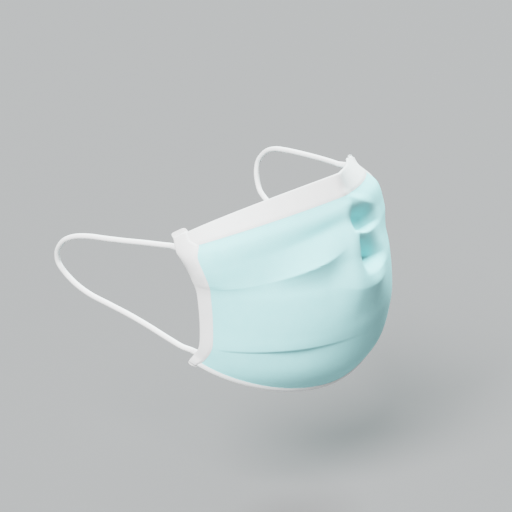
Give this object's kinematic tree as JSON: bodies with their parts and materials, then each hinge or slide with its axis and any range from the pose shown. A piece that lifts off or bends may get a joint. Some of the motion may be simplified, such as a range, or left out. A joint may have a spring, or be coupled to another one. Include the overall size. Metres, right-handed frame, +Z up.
{
  "type": "pleated face mask",
  "caption": "Pleated cloth face mask in its worn form, with a bound top edge, side bindings, a narrow hem and round elastic ear loops; covers the nose and mouth.",
  "frame": {"origin": "the seat on the bridge of the nose, behind the middle of the top edge, where the wearer's nose holds the mask up", "axes": "+X to the wearer's left, -Y the way the mask faces, +Z up"},
  "size_m": [0.1575, 0.158, 0.1222],
  "materials": {
    "blue_cloth": "matt nonwoven cloth",
    "white_binding": "matt nonwoven binding",
    "hem_binding": "matt nonwoven binding",
    "elastic_cord": "soft knitted elastic"
  },
  "bodies": {
    "root": {"mask_body": "blue_cloth", "top_band": "white_binding", "bottom_hem": "hem_binding", "right_side_band": "white_binding", "left_side_band": "white_binding", "right_ear_loop": "elastic_cord", "left_ear_loop": "elastic_cord"}
  },
  "joints": []
}
